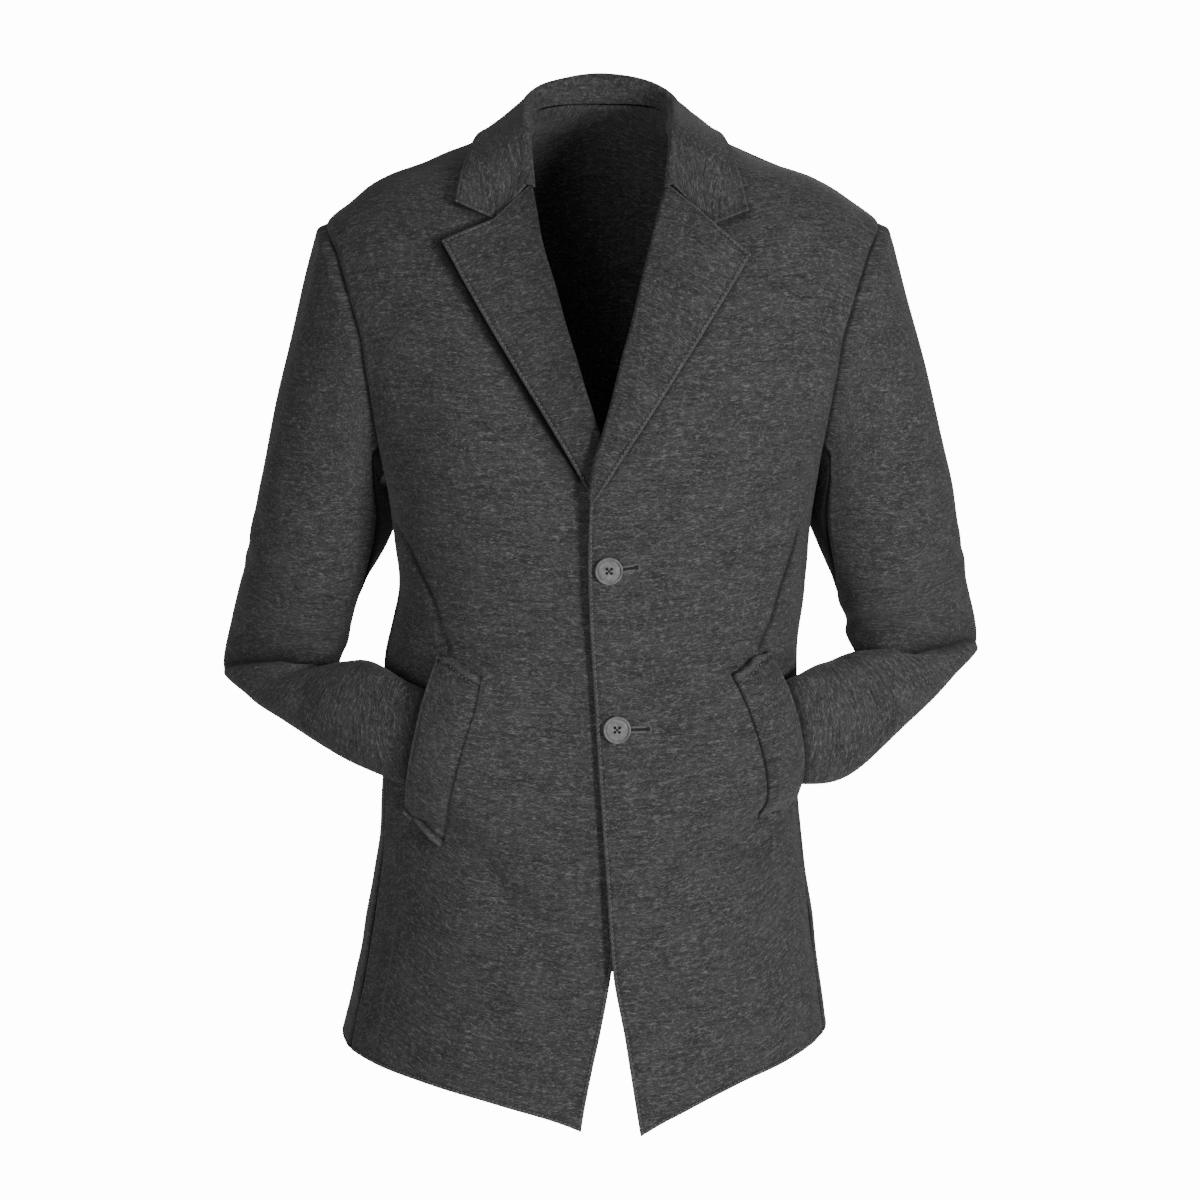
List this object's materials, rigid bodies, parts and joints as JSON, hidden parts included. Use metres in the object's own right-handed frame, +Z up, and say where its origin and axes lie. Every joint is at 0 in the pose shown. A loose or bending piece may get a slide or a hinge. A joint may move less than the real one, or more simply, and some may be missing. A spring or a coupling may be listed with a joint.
{
  "type": "car coat",
  "caption": "Single-breasted thigh-length wool coat in its worn form, with notch lapels, slanted welt pockets and bent sleeves whose cuffs lie in the pockets; hollow and empty.",
  "frame": {"origin": "middle of the neck opening, level with the inner ends of the shoulder seams, where the coat hangs on the wearer", "axes": "+Z up along the wearer, -Y to the coat's front, +X to the wearer's left"},
  "size_m": [0.6556, 0.3105, 0.877],
  "materials": {
    "wool": "napped charcoal melange wool",
    "button_horn": "satin grey resin"
  },
  "bodies": {
    "root": {"front_left": "wool", "front_right": "wool", "back": "wool", "lapel_left": "wool", "lapel_right": "wool", "collar": "wool", "sleeve_left_top": "wool", "sleeve_left_under": "wool", "sleeve_right_top": "wool", "sleeve_right_under": "wool", "pocket_welt_left": "wool", "pocket_welt_right": "wool", "button_upper": "button_horn", "button_lower": "button_horn"}
  },
  "joints": []
}
